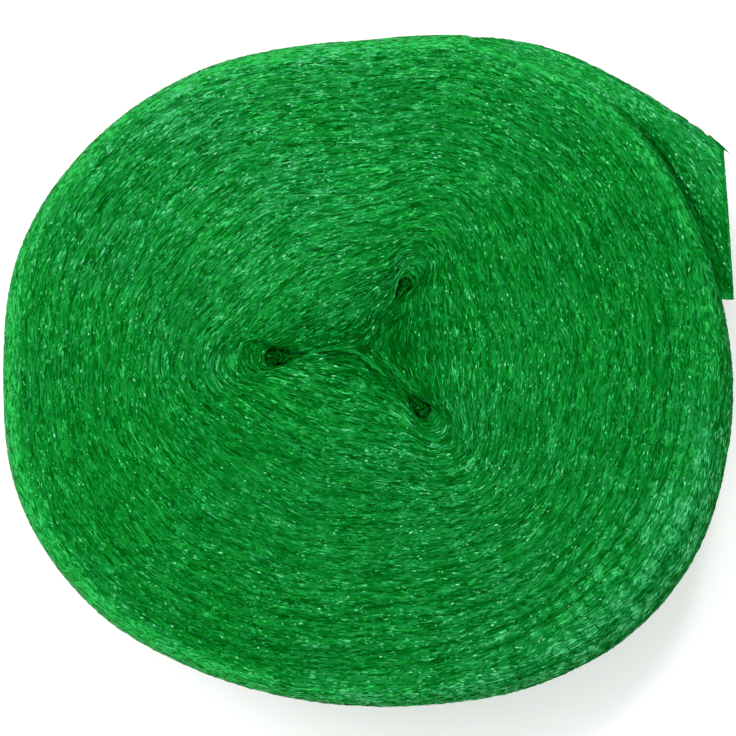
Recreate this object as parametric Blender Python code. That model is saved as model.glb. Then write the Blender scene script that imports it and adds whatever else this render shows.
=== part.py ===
"""A roll of knitted garden netting lying on its end, with its outer end loose.

The netting is gathered into a flat band and wound round three posts. Slipped off
them, its innermost turns have closed into a Y with an eye at each tip, and the
turns round out from there to an uneven oval rim. The outer end has let go of the
rim and fans out as a back-and-forth section of the band's folded layers.

Origin: bottom centre of the bounding box. +Z is the winding axis. Metres.
"""

import math

import bmesh
import bpy
import numpy as np

MM = 0.001

# Driving dimensions
ROLL_HEIGHT = 120 * MM
ROLL_CENTRE = np.array([0.5, -1.1]) * MM
CORE_CENTRE = np.array([1.6, 7.1]) * MM
STEP_ANGLE = 72.0  # degrees, where the outer turn leaves the rim
TOUCH_GAP = 0.3 * MM

# Rim of the roll round ROLL_CENTRE, anticlockwise from the step back to the step
RIM = [  # angle in degrees, radius in mm
    (72, 145.0),
    (80, 140.7),
    (90, 137.2),
    (100, 138.0),
    (120, 144.5),
    (140, 150.0),
    (160, 153.2),
    (180, 150.4),
    (200, 152.3),
    (220, 148.1),
    (240, 140.1),
    (260, 136.2),
    (280, 137.9),
    (300, 145.8),
    (315, 151.5),
    (330, 153.3),
    (345, 150.9),
    (360, 148.9),
    (370, 147.6),
    (385, 147.4),
    (400, 148.4),
    (410, 147.0),
    (420, 143.8),
    (432, 140.0),
]

# How far the end face rounds off inwards from the rim
SHOULDER = [  # angle in degrees, width in mm
    (72, 8.0),
    (120, 8.0),
    (180, 8.5),
    (240, 9.0),
    (280, 12.0),
    (320, 19.0),
    (350, 15.0),
    (375, 11.0),
    (400, 7.5),
    (418, 4.8),
    (432, 3.0),
]

# Arms of the Y, from CORE_CENTRE to the far end of each eye
ARMS = [  # angle in degrees, length, eye length and eye width in mm
    (59.0, 33.5, 13.5, 5.6),
    (184.0, 42.0, 16.0, 8.0),
    (312.5, 37.0, 15.5, 6.6),
]
SLIT_WIDTH = 1.2 * MM  # the crack between the two sides of an arm
PINCH = 0.55  # share of their width that the crack and eyes keep inside the roll

# Relief of the end face
MAIN_TWISTS = 6
TWIST_HEIGHT = 1.0 * MM
CORE_DIP = 6.0 * MM
CORE_DIP_REACH = 0.16  # share of the way to the rim
DOME_DROP = 2.5 * MM
SWELLS = [  # lobes round the roll, phase in degrees, height in mm
    (2, 40.0, 0.9),
    (3, 200.0, 0.7),
    (5, 110.0, 0.5),
]
FLOW_ROUNDING = 0.3  # how soon the turns stop following the Y
TOP_SHOULDER_SLOPE = 1.3  # depth of the top shoulder over its width
BOTTOM_SHOULDER = 7.0 * MM
WALL_TAPER = [  # share of the wall's height from its top, inset in mm
    (0.0, 0.0),
    (0.35, 0.4),
    (0.7, 0.9),
    (1.0, 1.6),
]

# Mesh steps
COLUMNS_PER_ARM = 28
FACE_RINGS = 26
SHOULDER_RINGS = 4
BASE_RINGS = 5
STEP_SPLIT = 0.12  # degrees to either side of the step's face

# Loose end: the band's outer and inner faces, clockwise from the step
OUTER_FACE = [  # angle in degrees, radius in mm
    (72.0, 145.0),
    (60.0, 153.3),
    (50.0, 158.2),
    (40.0, 164.7),
    (31.5, 172.5),
]
INNER_FACE = [  # angle in degrees, clearance from the rim in mm
    (72.0, 0.3),
    (60.0, 0.6),
    (45.0, 1.2),
    (28.0, 2.2),
    (11.0, 4.6),
]
LEAVES = 4
LEAF_THICKNESS = (1.0 * MM, 3.0 * MM)  # at the step and at the cut end
LOOSE_STATIONS = 18
LOOSE_DROP = (8.0 * MM, 6.5 * MM)  # top of the loose end under ROLL_HEIGHT, at step and cut
LOOSE_RISE = (8.0 * MM, -3.0 * MM)  # how much higher its inner side is, at step and cut
LOOSE_FOLD_RISE = 4.0 * MM
FOLD_STEPS = 4


def smooth_through(rows, at):
    """Values at the places `at` of a smooth curve through rows of (place, value)."""
    knots, values = np.array(rows, float).T
    if knots[0] > knots[-1]:
        knots, values = knots[::-1], values[::-1]
    slopes = np.gradient(values, knots)
    at = np.asarray(at, float)
    k = np.clip(np.searchsorted(knots, at, side="right") - 1, 0, len(knots) - 2)
    span = knots[k + 1] - knots[k]
    u = (at - knots[k]) / span
    return (
        (1 + 2 * u) * (1 - u) ** 2 * values[k]
        + u * (1 - u) ** 2 * span * slopes[k]
        + u * u * (3 - 2 * u) * values[k + 1]
        + u * u * (u - 1) * span * slopes[k + 1]
    )


def smooth_step(x):
    x = np.clip(x, 0.0, 1.0)
    return x * x * (3 - 2 * x)


def heading(degrees):
    """Unit vectors in plan for angles in degrees."""
    turn = np.radians(degrees)
    return np.stack([np.cos(turn), np.sin(turn)], axis=-1)


def rim_points(angles, inset=0.0):
    """Points of the rim at the given angles, moved inwards by inset."""
    radius = smooth_through(RIM, angles) * MM - inset
    return ROLL_CENTRE + heading(angles) * np.reshape(radius, (-1, 1))


def arm_sectors():
    """Each arm with the angles of the forks before and after it, round past the step again."""
    directions = [arm[0] for arm in ARMS] + [ARMS[0][0] + 360.0, ARMS[1][0] + 360.0]
    forks = [(a + b) / 2 for a, b in zip(directions, directions[1:])]
    sectors = [(ARMS[0], None, forks[0])]
    for arm, before, after in zip((*ARMS[1:], (directions[3], *ARMS[0][1:])), forks, forks[1:]):
        sectors.append((arm, before, after))
    return sectors


def column_angles():
    """Angles of the mesh's columns, closer together where an eye's tip needs them."""
    angles = []
    for arm, before, after in arm_sectors():
        centre = arm[0]
        spread = np.linspace(0, 1, COLUMNS_PER_ARM // 2 + 1) ** 1.25
        if before is not None:
            angles += list(centre - (centre - before) * spread[:-1])
        if after is not None:
            angles += list(centre + (after - centre) * spread[1:])
    angles = np.unique(np.round(angles, 6))
    last = STEP_ANGLE + 360
    clear = 1.5
    inside = angles[(angles > STEP_ANGLE + clear) & (angles < last - clear)]
    return np.array([STEP_ANGLE + STEP_SPLIT, *inside, last - STEP_SPLIT])


def eye_half_width(from_tip, length, width):
    """Half the width of an eye and its crack at a distance from the eye's far end."""
    cap = width / 2
    crack = SLIT_WIDTH / 2
    round_end = np.sqrt(np.maximum(cap**2 - (cap - from_tip) ** 2, 0.0))
    closing = smooth_step((from_tip - cap) / (length - cap))
    return np.where(from_tip < cap, round_end, cap + (crack - cap) * closing)


def core_edge(angles, keep=1.0):
    """Inner edge of the windings, round the Y, and 0 at its tips to 1 at its forks.

    keep is the share of the width that the crack and eyes have there.
    """
    points = np.zeros((len(angles), 2))
    forkness = np.zeros(len(angles))
    for arm, before, after in arm_sectors():
        centre, length, eye_length, eye_width = arm
        for side, limit in ((-1, before), (1, after)):
            if limit is None:
                continue
            low, high = sorted((centre, limit))
            chosen = (angles >= low) & (angles <= high)
            q = np.abs(angles[chosen] - centre) / abs(limit - centre)
            fork_angle = math.radians(abs(limit - centre))
            fork_along = SLIT_WIDTH / 2 / math.tan(fork_angle)
            along = fork_along + (length * MM - fork_along) * (1 - q**1.3)
            half = eye_half_width(length * MM - along, eye_length * MM, eye_width * MM)
            normal = heading(centre + 90.0) * side
            offset = along[:, None] * heading(centre) + (keep * half)[:, None] * normal
            points[chosen] = CORE_CENTRE + offset
            forkness[chosen] = q
    return points, forkness


def face_height(t, angles):
    """Height of the top end face at share t of the way from the core to its edge."""
    twist = np.cos(2 * np.pi * (MAIN_TWISTS * t + angles / 360.0))
    fade = smooth_step(t / 0.12) * smooth_step((1 - t) / 0.08)
    swell = sum(
        height * MM * np.cos(np.radians(lobes * angles - phase))
        for lobes, phase, height in SWELLS
    )
    dip = CORE_DIP * (1 - smooth_step(t / CORE_DIP_REACH))
    return (
        ROLL_HEIGHT
        - dip
        - DOME_DROP * t**4
        + TWIST_HEIGHT * twist * fade
        + swell * smooth_step(t / 0.4)
    )


def ring(points, heights):
    """One closed ring of 3-D points from plan points and heights."""
    return np.column_stack([points, np.broadcast_to(heights, len(points))])


def face_rings(angles):
    """Rings of the top end face, from the core out to the shoulder."""
    core, forkness = core_edge(angles)
    width = smooth_through(SHOULDER, angles) * MM
    rate = 1 / (1 + FLOW_ROUNDING * forkness**2)
    rings = []
    edge = rim_points(angles, inset=width)
    for t in np.linspace(0, 1, FACE_RINGS):
        share = (t**rate)[:, None]
        rings.append(ring((1 - share) * core + share * edge, face_height(t, angles)))
    return rings


def shoulder_and_wall_rings(angles):
    """Rings down the outside: top shoulder, wall and bottom shoulder."""
    width = smooth_through(SHOULDER, angles) * MM
    top = face_height(1.0, angles)
    depth = TOP_SHOULDER_SLOPE * width
    rings = []
    for turn in np.linspace(0, math.pi / 2, SHOULDER_RINGS + 1)[1:]:
        inset = width * (1 - math.sin(turn))
        rings.append(ring(rim_points(angles, inset), top - depth * (1 - math.cos(turn))))
    wall_top = top - depth
    for share, inset in WALL_TAPER[1:]:
        height = wall_top + (BOTTOM_SHOULDER - wall_top) * share
        rings.append(ring(rim_points(angles, inset * MM), height))
    base_inset = WALL_TAPER[-1][1] * MM
    for turn in np.linspace(0, math.pi / 2, SHOULDER_RINGS)[1:]:
        inset = base_inset + BOTTOM_SHOULDER * (1 - math.cos(turn))
        height = BOTTOM_SHOULDER * (1 - math.sin(turn))
        rings.append(ring(rim_points(angles, inset), height))
    return rings


def base_and_bore_rings(angles):
    """Rings of the flat base, inwards from the rim, and up the inside of the Y."""
    core, forkness = core_edge(angles)
    edge = rim_points(angles, WALL_TAPER[-1][1] * MM + BOTTOM_SHOULDER)
    rate = 1 / (1 + FLOW_ROUNDING * forkness**2)
    rings = []
    for t in np.linspace(1, 0, BASE_RINGS)[1:]:
        share = (t**rate)[:, None]
        rings.append(ring((1 - share) * core + share * edge, 0.0))
    pinched, _ = core_edge(angles, keep=PINCH)
    rings.append(ring(pinched, ROLL_HEIGHT * 0.35))
    rings.append(ring(pinched, ROLL_HEIGHT * 0.7))
    return rings


def skin(name, rings, closed_loop):
    """Mesh object of quads between rings; the last ring joins the first, or both are capped."""
    mesh = bmesh.new()
    rows = [[mesh.verts.new(point) for point in points] for points in rings]
    count = len(rows[0])
    pairs = list(zip(rows, rows[1:]))
    if closed_loop:
        pairs.append((rows[-1], rows[0]))
    for inner, outer in pairs:
        for i in range(count):
            j = (i + 1) % count
            mesh.faces.new((inner[i], outer[i], outer[j], inner[j]))
    if not closed_loop:
        mesh.faces.new(rows[0])
        mesh.faces.new(list(reversed(rows[-1])))
    bmesh.ops.recalc_face_normals(mesh, faces=mesh.faces)
    data = bpy.data.meshes.new(name)
    mesh.to_mesh(data)
    mesh.free()
    data.shade_smooth()
    data.set_sharp_from_angle(angle=math.radians(50))
    thing = bpy.data.objects.new(name, data)
    bpy.context.scene.collection.objects.link(thing)
    return thing


def netting(name, colour, roughness):
    """Principled material of green polyethylene netting."""
    material = bpy.data.materials.new(name)
    material.use_nodes = True
    shader = material.node_tree.nodes["Principled BSDF"]
    shader.inputs["Base Color"].default_value = (*colour, 1.0)
    shader.inputs["Roughness"].default_value = roughness
    shader.inputs["Metallic"].default_value = 0.0
    material.diffuse_color = (*colour, 1.0)
    return material


def build_roll():
    """The wound roll: one solid from the Y at its core to the stepped rim."""
    angles = column_angles()
    rings = face_rings(angles)
    rings += shoulder_and_wall_rings(angles)
    rings += base_and_bore_rings(angles)
    roll = skin("wound_roll", rings, closed_loop=True)
    roll.data.materials.append(netting("netting_green", (0.008, 0.23, 0.032), 0.42))
    return roll


def fold_arc(left, right, crest, thickness):
    """Outer and inner lines of one rounded fold at the top, as (across, height) points."""
    turns = np.linspace(math.pi, 0, FOLD_STEPS + 1)
    lines = []
    for grow in (0.0, thickness):
        middle = (left + right) / 2
        half = (right - left) / 2 - grow
        rise = min(LOOSE_FOLD_RISE, half + grow) - grow
        base = crest - rise - grow
        lines.append([(middle + half * math.cos(a), base + rise * math.sin(a)) for a in turns])
    return lines


def flat_fold(left, right, thickness):
    """Outer and inner lines of a fold that lies flat on the ground."""
    bevel = min(thickness, (right - left) / 4)
    outer = [(left, bevel), (left + bevel, 0.0), (right - bevel, 0.0), (right, bevel)]
    inner = [(left + thickness, 2 * thickness), (right - thickness, 2 * thickness)]
    return [outer, inner]


def loose_top(share, across):
    """Height of the loose end's folds, across running from 0 at its outer face to 1."""
    drop = LOOSE_DROP[0] + (LOOSE_DROP[1] - LOOSE_DROP[0]) * smooth_step(share)
    rise = LOOSE_RISE[1] + (LOOSE_RISE[0] - LOOSE_RISE[1]) * (1 - share) ** 3
    return ROLL_HEIGHT - drop + rise * across


def folded_section(width, thickness, share):
    """Outline of the back-and-forth section, as (across, height) points, across from outside in.

    Leaves are joined in turn by a rounded fold at the top and a flat one on the ground.
    """
    pitch = (width - thickness) / (LEAVES - 1)
    near, far = [], []  # the two sides of the cloth, from its first leaf to its last
    near.append((0.0, 0.0))
    far.append((thickness, 0.0))
    for k in range(LEAVES - 1):
        left, right = k * pitch, (k + 1) * pitch + thickness
        if k % 2 == 0:
            crest = loose_top(share, (left + right) / 2 / width)
            outer, inner = fold_arc(left, right, crest, thickness)
            near += outer
            far += inner
        else:
            outer, inner = flat_fold(left, right, thickness)
            near += inner
            far += outer
    near.append(((LEAVES - 1) * pitch + thickness, 0.0))
    far.append(((LEAVES - 1) * pitch, 0.0))
    return near + far[::-1]


def loose_stations():
    """Stations along the loose end: outer plan point, inner plan point and share of the way."""
    share = np.linspace(0, 1, LOOSE_STATIONS)
    start = STEP_ANGLE - STEP_SPLIT - math.degrees(TOUCH_GAP / (RIM[0][1] * MM))
    outer_angle = start + (OUTER_FACE[-1][0] - start) * share
    inner_angle = start + (INNER_FACE[-1][0] - start) * share
    outer_radius = smooth_through(OUTER_FACE, outer_angle) * MM
    outer = ROLL_CENTRE + heading(outer_angle) * outer_radius[:, None]
    clearance = smooth_through(INNER_FACE, inner_angle) * MM
    inner = rim_points(inner_angle + 360.0, inset=-clearance)
    return outer, inner, share


def build_loose_end():
    """The loose outer end: the band's folded layers, fanning out to a plain cut."""
    rings = []
    for outer, inner, share in zip(*loose_stations()):
        width = float(np.linalg.norm(inner - outer))
        across = (inner - outer) / width
        thickness = LEAF_THICKNESS[0] + (LEAF_THICKNESS[1] - LEAF_THICKNESS[0]) * share
        section = folded_section(width, thickness, share)
        plan = [outer + across * place for place, _ in section]
        rings.append([(*point, height) for point, (_, height) in zip(plan, section)])
    loose = skin("loose_end", rings, closed_loop=False)
    loose.data.materials.append(netting("netting_green_light", (0.014, 0.28, 0.046), 0.38))
    return loose


def main():
    for thing in list(bpy.data.objects):
        bpy.data.objects.remove(thing, do_unlink=True)
    build_roll()
    build_loose_end()


main()
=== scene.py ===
"""Dresses the bird netting roll: strands, turns, lights and camera round its two solids.

Every strand is a thin blade on the surface it belongs to: along the turns on the end
face, in closed diamonds on the wall, and over the loose end's pleated layers. Metres.
"""

import math
from collections import namedtuple

import bpy
import numpy as np
from mathutils import Matrix, Vector


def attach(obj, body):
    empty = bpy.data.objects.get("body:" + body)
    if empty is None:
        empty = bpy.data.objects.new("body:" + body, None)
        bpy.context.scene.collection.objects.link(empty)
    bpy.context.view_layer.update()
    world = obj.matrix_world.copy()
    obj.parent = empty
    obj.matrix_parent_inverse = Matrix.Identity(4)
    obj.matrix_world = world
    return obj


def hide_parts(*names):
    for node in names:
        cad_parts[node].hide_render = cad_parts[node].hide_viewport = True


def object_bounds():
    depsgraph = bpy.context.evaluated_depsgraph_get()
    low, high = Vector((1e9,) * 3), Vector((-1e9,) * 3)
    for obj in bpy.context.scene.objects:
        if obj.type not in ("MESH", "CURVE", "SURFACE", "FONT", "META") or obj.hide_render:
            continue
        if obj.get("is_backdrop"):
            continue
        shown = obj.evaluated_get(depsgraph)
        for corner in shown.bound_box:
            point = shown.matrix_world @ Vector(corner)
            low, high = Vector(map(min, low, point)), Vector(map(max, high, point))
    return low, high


MM = 0.001
SEED = 20
UP = np.array([0.0, 0.0, 1.0])

# ---- the solids' own sizes, as in the part's source ----

ROLL_HEIGHT = 120 * MM
ROLL_CENTRE = np.array([0.5, -1.1]) * MM
CORE_CENTRE = np.array([1.6, 7.1]) * MM
STEP_ANGLE = 72.0
STEP_SPLIT = 0.12
TOUCH_GAP = 0.3 * MM
RIM = [  # angle in degrees, radius in mm
    (72, 145), (80, 140.7), (90, 137.2), (100, 138), (120, 144.5), (140, 150),
    (160, 153.2), (180, 150.4), (200, 152.3), (220, 148.1), (240, 140.1), (260, 136.2),
    (280, 137.9), (300, 145.8), (315, 151.5), (330, 153.3), (345, 150.9), (360, 148.9),
    (370, 147.6), (385, 147.4), (400, 148.4), (410, 147), (420, 143.8), (432, 140),
]
SHOULDER = [  # angle in degrees, width in mm
    (72, 8), (120, 8), (180, 8.5), (240, 9), (280, 12), (320, 19),
    (350, 15), (375, 11), (400, 7.5), (418, 4.8), (432, 3),
]
ARMS = [  # angle in degrees, length, eye length and eye width in mm
    (59, 33.5, 13.5, 5.6),
    (184, 42, 16, 8),
    (312.5, 37, 15.5, 6.6),
]
ARM_EASE = 1.3  # how soon the edge leaves an arm's tip
STAR_FROM = 0.88  # share of the way to a fork where the crack widens
PINCH = 0.55
MAIN_TWISTS = 6
TWIST_HEIGHT = 1.0 * MM
TWIST_FADE = (0.12, 0.08)  # shares of the face, at the core and the edge
CORE_DIP = 6.0 * MM
CORE_DIP_REACH = 0.16
DOME_DROP = 2.5 * MM
SWELLS = [(2, 40, 0.9), (3, 200, 0.7), (5, 110, 0.5)]  # lobes, phase in degrees, height in mm
SWELL_REACH = 0.4
FLOW_ROUNDING = 0.3
TOP_SHOULDER_SLOPE = 1.3
BOTTOM_SHOULDER = 7.0 * MM
WALL_TAPER = [(0, 0), (0.35, 0.4), (0.7, 0.9), (1, 1.6)]  # share of the way down, inset in mm
OUTER_FACE = [(72, 145), (60, 153.3), (50, 158.2), (40, 164.7), (31.5, 172.5)]  # degrees, radius in mm
LOOSE_DROP = (8.0 * MM, 6.5 * MM)
LOOSE_RISE = (8.0 * MM, -3.0 * MM)
LOOSE_FOLD_RISE = 4.0 * MM
FOLD_STEPS = 4

# ---- sizes of the netting's dress ----

TURNS = 18  # fine turns between the core and the rim
TURN_PITCH = 6.7  # mm, near the rim
TURN_RELIEF = 0.8 * MM
TURN_MEAN = 0.75  # mean of a crest, as a share of its top
BAR_LENGTH = 7.5 * MM  # from one row of joints to the next
MEAN_RADIUS = 146 * MM
ROW_SHIFT = 0.37  # share of a cell from one turn's joints to the next one's
ROWED = (318.0, 34.0)  # degrees where rows of joints are clear, and their reach
ROW_TURNS = (-4, 3)  # turns that have joints, from the last turn of the face
ROW_SWAY = 0.45  # degrees that a row of joints wanders to either side
WALL_COLUMNS = 124
WALL_PITCH = 1.62 * MM  # between joints of one row
WALL_JITTER = 0.22 * MM
WALL_WIDTH = (0.60, 0.95)  # mm
JOINT_LIFT = 0.05 * MM
WALL_START = 1.72  # place on the profile where closed diamonds take over
BASE_CLEAR = 0.9 * MM  # room for strands under the body
FACE_REACH = 1.9  # place on the profile where the face's strands stop
BODY_ROWS = (4 * TURNS, 8, 12, 6, 12)  # for each part of the profile
BODY_COLUMNS = 300
BODY_BORE = (0.35, 0.7)  # heights of its rings in the core, as shares
BODY_SHADE = -0.09  # how much lighter than its strands it is, as painted shade under them
BODY_WALL = (0.30, 0.3, 0.05)  # its wall's brightness, share of bluer tones and scatter; darker than the wall's strands, as painted shade under them
BODY_SWAY = 0.3  # share of a cell that its grid points are moved

# The core, opened a little for the strands that hang over its edge
CRACK = 0.6 * MM
STAR = 0.3 * MM  # added to the crack's half width at the forks
EYE_EASE = 0.5  # mm
CRACK_THREADS = 34  # dark threads down in the crack of each arm
CRACK_WIDTH = (0.5, 0.9)  # mm
BUNDLES = [  # light threads over the core: threads, spread in mm and plan points in mm
    (14, 0.4, [(-32.8, 1.2), (-25.7, 3.3), (-20.4, 5.9), (-14.5, 7.2), (-8.2, 6.9), (-0.9, 4.9)]),
    (10, 0.45, [(-8.2, 6.9), (-0.9, 4.9), (4.9, 0), (11.4, -4.7)]),
    (15, 0.75, [(4.4, 5.9), (8.4, 2), (12.9, -1.7), (17.9, -7), (20.8, -9.6), (24.5, -12)]),
]
CREASES = [  # the same for dark threads, painted shade in furrows and the eyes' tails
    (20, 0.25, [(-15.5, 3.9), (-10.6, 5.5), (-4.5, 5.9), (1.2, 6.5), (3.6, 5.3)]),
    (20, 0.7, [(-3.5, 7), (0, 6.9), (3.6, 5.5)]),
    (12, 0.45, [(-4.1, 3.7), (1.2, 1.4), (4.4, -1.7), (7.9, -3.3), (13.2, -8), (14.6, -10)]),
    (20, 0.5, [(9.2, 12.7), (11.9, 8.4), (12.6, 5), (12.9, 1.7), (14.2, -0.6)]),
    (16, 0.5, [(17.9, 10), (18.2, 7.7), (17.1, 3.7), (17.9, 1), (18.7, -1.7)]),
    (8, 0.6, [(-5.3, 10.4), (-0.9, 14.7), (1.2, 16.5), (2.8, 19.8), (4.4, 23.9)]),
    (7, 0.6, [(-11.5, 14.5), (-6.6, 16.5), (-2.9, 18.2), (0, 21), (2.4, 24.7)]),
    (10, 0.5, [(9.3, 13.3), (11.4, 15.7), (13.4, 18.2), (16.3, 20.2), (19.5, 21.8)]),
    (14, 0.45, [(-31, 4.9), (-27, 4.7), (-22.5, 4.6)]),
    (14, 0.45, [(15.6, 28.6), (12.6, 25.5), (10.2, 22.7)]),
    (12, 0.5, [(15.5, -8.6), (18.3, -11.2), (20.6, -13.4)]),
]

# The loose end: pleats finer than the solid's leaves, and closer to the rim
CLEARANCE = [(72, 0.3), (60, 0.6), (45, 1.2), (28, 2.2), (9.6, 4.7)]  # degrees, mm from the rim
TAPER_REACH = 0.35  # share of its length over which the roll's taper and foot end
FOOT_SHARE = 0.5  # most that the foot rounds off, as a share of the width
CUT_SLANT = 0.14  # share of its length that the cut's inner side recedes by at the ground
OUTER_INSET = 0.6 * MM  # room for the strands on its outer face
LOOSE_STATIONS = 26
LOOSE_LENGTH = 112 * MM  # along its outer face
BRIDGE = (0.28, 0.62)  # shares of its length where the crevice opens and is open
BRIDGE_SAG = 4.0 * MM
BRIDGE_TURN = 1.5  # degrees from its end at the loose end to its end at the roll
PLEATS = 12
PLEAT_THICKNESS = (0.25 * MM, 1.1 * MM)
PLEAT_WAVE = 2.0 * MM
CROWN_COVER = 0.5 * MM  # depth of the pleats' tops under the strands over them
EDGE_DROP = (2.5 * MM, 0.12)  # of the crown at its outer edge, and its share of the width
CREVICE_DROP = 4.0 * MM  # of the crown at its inner edge, where the crevice is open
STRAY_SHARES = np.array([0.94, 0.97, 0.995])  # of its length, where a stray thread lies
STRAY_REACH = 4.2 * MM  # past the cut
STRAY_WIDTH = 1.1 * MM

# ---- sets of strands that lie on a surface ----

fields = "name count length lift spread width stops"
StrandSet = namedtuple("StrandSet", fields, defaults=((0.45, 0.80), 3))
STRAND_SETS = [  # sizes are (least, most) in mm, spread is of their turns in degrees
    ("face_strands", 36000, (2.8, 6.6), (0.05, 0.55), 8, (0.66, 1.15)),
    ("face_glints", 26000, (1.0, 2.6), (0.50, 0.75), 16),
    ("gap_threads", 9000, (4.0, 10.0), (0.50, 0.80), 4, (0.35, 0.60), 4),
    ("face_threads", 900, (8.0, 18.0), (0.30, 0.70), 4, (0.26, 0.42), 7),
    ("core_threads", 3000, (2.5, 6.5), (0.30, 0.75), 6, (0.40, 0.65), 4),
    ("core_lines", 4000, (2.5, 7.0), (0.60, 0.85), 4, (0.40, 0.65), 4),
    ("row_joints", 2, (3.5, 6.0), (0.45, 0.70), 6.8755, (0.45, 0.75)),
    ("base_strands", 6000, (4.0, 9.0), (0.10, 0.50), 8.5944, (0.70, 1.20)),
    ("loose_crown_strands", 15500, (2.5, 6.0), (-1.2, 0.4), 9),
    ("loose_glints", 1300, (1.0, 2.4), (0.3, 0.6), 14),
    ("loose_cut_edge", 560, (2.0, 4.0), (-1.5, 0.3), 2.2918),
    ("loose_corner_edge", 220, (2.0, 4.0), (-0.2, 0.3), 2.2918),
    ("loose_bridge_strands", 6500, (2.5, 6.0), (-0.8, 0.4), 9),
    ("loose_cut_strands", 7000, (3.0, 6.0), (0.0, 0.3), 6),
    ("loose_leaf_ends", 2400, (2.0, 5.0), (-0.3, 0.3), 12.605),
]
SETS = {row[0]: StrandSet(*row) for row in STRAND_SETS}
# face_strands has its count in each of three pieces, row_joints at each joint of each turn
STRAND_ARCH = (0.05, 0.30)  # mm that a strand's ends lie lower than its middle
BLADE_RISE = 0.25  # height of a blade's crest as a share of its width
BLADE_ROLL = 0.28  # radians, about a blade's own line

# ---- tones of the strands, in linear colour, darkest first ----

LEVELS = 7  # in each hue
# The levels are lighter and darker copies of one green, picked by painted light and shade as well as
# by random tone
TONES = [  # name, red, green, blue, roughness, gloss
    ("leaf_dim", 0.0006, 0.062, 0.003, 0.75, 0),
    ("leaf_deep", 0.0006, 0.096, 0.0056, 0.7, 0),
    ("leaf_shade", 0.0008, 0.13, 0.0096, 0.6, 0.01),
    ("leaf_middle", 0.0018, 0.164, 0.015, 0.52, 0.02),
    ("leaf_fresh", 0.0032, 0.204, 0.0222, 0.46, 0.02),
    ("leaf_light", 0.007, 0.268, 0.036, 0.42, 0.04),
    ("leaf_pale", 0.018, 0.38, 0.066, 0.38, 0.07),
    ("sea_dim", 0.0004, 0.066, 0.0052, 0.75, 0),
    ("sea_deep", 0.0006, 0.096, 0.0084, 0.7, 0),
    ("sea_shade", 0.0014, 0.126, 0.0142, 0.6, 0.01),
    ("sea_middle", 0.003, 0.158, 0.0235, 0.52, 0.02),
    ("sea_fresh", 0.006, 0.196, 0.036, 0.44, 0.03),
    ("sea_light", 0.013, 0.258, 0.062, 0.38, 0.06),
    ("sea_pale", 0.042, 0.375, 0.125, 0.3, 0.14),
    ("gap", 0.0004, 0.036, 0.004, 0.8, 0),
    ("spark", 0.12, 0.53, 0.25, 0.3, 0.22),
]
DIM, DEEP, SHADE, MIDDLE, FRESH = range(5)  # levels of the leaf hue, LEVELS before the sea's
# gap is the darkest tone, painted shade in hollows; spark is a pale tone, a painted glint
GAP = 2 * LEVELS
SPARK = GAP + 1
EYE_THREADS = [  # threads in each eye, depths in mm, half lengths as shares of its width, tones
    (200, (1.5, 5.0), (0.10, 0.30), [GAP, DIM, DIM, DEEP, DEEP]),
    (5, (0.5, 2.0), (0.3, 0.6), [DIM, DEEP]),
    (5, (0.5, 2.0), (0.05, 0.10), [MIDDLE, LEVELS + FRESH]),
]
EYE_WIDTH = (0.3, 0.6)  # mm
TONE_SCATTER = 0.15
CORE_SCATTER = 0.26  # of the core's threads, as far as CORE_REACH on the face
CORE_REACH = 0.26
RIM_LIGHT = [  # angle in degrees, how much lighter the strands over the rim are, as painted light on the shoulder
    (72, 0.38), (100, 0.35), (135, 0.24), (200, 0.44), (222, 0.48), (242, 0.35), (268, 0.22),
    (295, 0.1), (330, 0.03), (355, 0.03), (385, 0.3), (408, 0.34), (432, 0.4),
]
FACE_LIGHT_AND_SHADE = [  # angle and its reach in degrees, place and reach on the face, how much lighter: painted shade and light round the core's dip, forks and eyes, and painted light and shade in bands over the rim
    (5, 26, 0.05, 0.05, -0.22),
    (332, 18, 0.08, 0.07, -0.18),
    (100, 17, 0.14, 0.1, -0.18),
    (70, 12, 0.03, 0.05, 0.24),
    (76, 9, 0.07, 0.05, 0.14),
    (138, 14, 0.11, 0.05, -0.12),
    (140, 30, 0.03, 0.06, -0.16),
    (180, 30, 0.08, 0.055, -0.08),
    (56, 11, 0.15, 0.13, -0.09),
    (121, 22, 0.005, 0.02, -0.18),
    (262, 24, 0.025, 0.03, -0.15),
    (200, 12, 0.015, 0.025, -0.1),
    (215, 22, 0.09, 0.07, 0.16),
    (100, 45, 1, 0.1, 0.13),
    (26, 20, 1.2, 0.14, -0.08),
    (240, 20, 1, 0.1, -0.06),
    (332, 28, 1.12, 0.16, 0.15),
    (332, 28, 0.84, 0.08, -0.08),
    (212, 18, 1, 0.14, 0.07),
]

rng = np.random.default_rng(SEED)


# ---- numbers ----


def curve(rows, at):
    """Values at places of a smooth curve through rows of (place, value)."""
    knots, values = np.array(rows, float).T
    if knots[0] > knots[-1]:
        knots, values = knots[::-1], values[::-1]
    slopes = np.gradient(values, knots)
    k = np.clip(np.searchsorted(knots, at, side="right") - 1, 0, len(knots) - 2)
    span = knots[k + 1] - knots[k]
    u = (at - knots[k]) / span
    start = values[k] * (1 + 2 * u) + span * slopes[k] * u
    end = values[k + 1] * (3 - 2 * u) + span * slopes[k + 1] * (u - 1)
    return (1 - u) ** 2 * start + u * u * end


def ease(x):
    """A smooth step from 0 at 0 to 1 at 1."""
    x = np.clip(x, 0.0, 1.0)
    return x * x * (3 - 2 * x)


def between(first, last, share):
    return first + (last - first) * share


def peak(x, place, width):
    """A smooth peak: 1 at the place and near 0 beyond twice its width."""
    return np.exp(-(((x - place) / width) ** 2))


def bump(angles, middle, reach):
    """A smooth peak round the roll, at a middle angle."""
    return peak((angles - middle + 180) % 360 - 180, 0, reach)


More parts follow.
